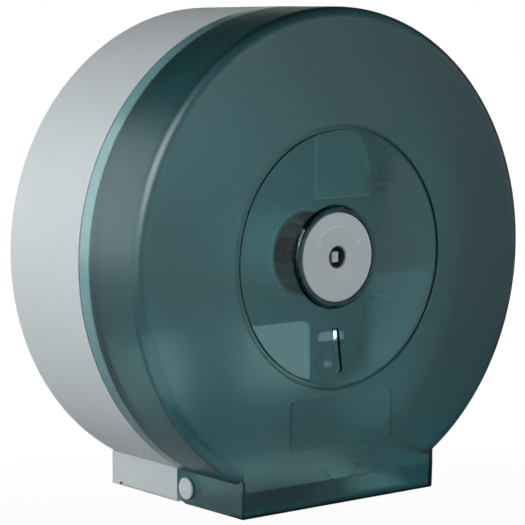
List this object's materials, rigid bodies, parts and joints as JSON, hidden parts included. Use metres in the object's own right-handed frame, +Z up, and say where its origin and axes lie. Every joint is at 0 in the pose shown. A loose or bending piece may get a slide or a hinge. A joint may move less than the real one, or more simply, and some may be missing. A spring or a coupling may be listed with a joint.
{
  "type": "jumbo toilet roll dispenser",
  "caption": "Round wall dispenser for jumbo toilet rolls: grey rear shell, smoky tip-down cover with a keyed centre lock, free-turning roll hub and a toothed paper outlet in the neck.",
  "frame": {"origin": "on the drum's axis, in the plane of the wall, at the middle of the wall screw pattern", "axes": "+Z up, +Y into the wall, so the front faces -Y; X runs sideways across the drum"},
  "size_m": [0.265, 0.1193, 0.265],
  "materials": {
    "shell_grey": "fine matt moulded texture",
    "smoke_teal": "translucent, satin outside with a polished window",
    "dark_plastic": "satin",
    "steel": "zinc plated",
    "blade_steel": "rolled strip"
  },
  "bodies": {
    "casing": {"rear_shell": "shell_grey", "tear_blade_left": "blade_steel", "tear_blade_right": "blade_steel", "hinge_pin_left": "shell_grey", "hinge_pin_right": "shell_grey", "spindle_post": "shell_grey", "spindle_screws": "steel", "thrust_washer": "dark_plastic", "hub_retainer": "steel", "latch_keeper": "dark_plastic"},
    "hub": {"roll_hub": "shell_grey"},
    "cover": {"front_cover": "smoke_teal", "lock_plate": "shell_grey", "lock_barrel": "dark_plastic", "lock_screws": "steel"},
    "lock": {"lock_core": "shell_grey", "detent_washer": "steel", "core_clip": "steel", "latch_arm": "steel", "latch_screw": "steel"}
  },
  "joints": [
    {"name": "cover_hinge", "type": "hinge", "parent": "casing", "child": "cover", "pos_m": [0, -0.0703, -0.12375], "axis": [1, 0, 0], "range_deg": [0, 90]},
    {"name": "lock_turn", "type": "hinge", "parent": "cover", "child": "lock", "pos_m": [0, -0.09, 0], "axis": [0, 1, 0], "range_deg": [0, 90]},
    {"name": "hub_spin", "type": "hinge", "parent": "casing", "child": "hub", "pos_m": [0, -0.05, 0], "axis": [0, -1, 0], "continuous": true}
  ]
}
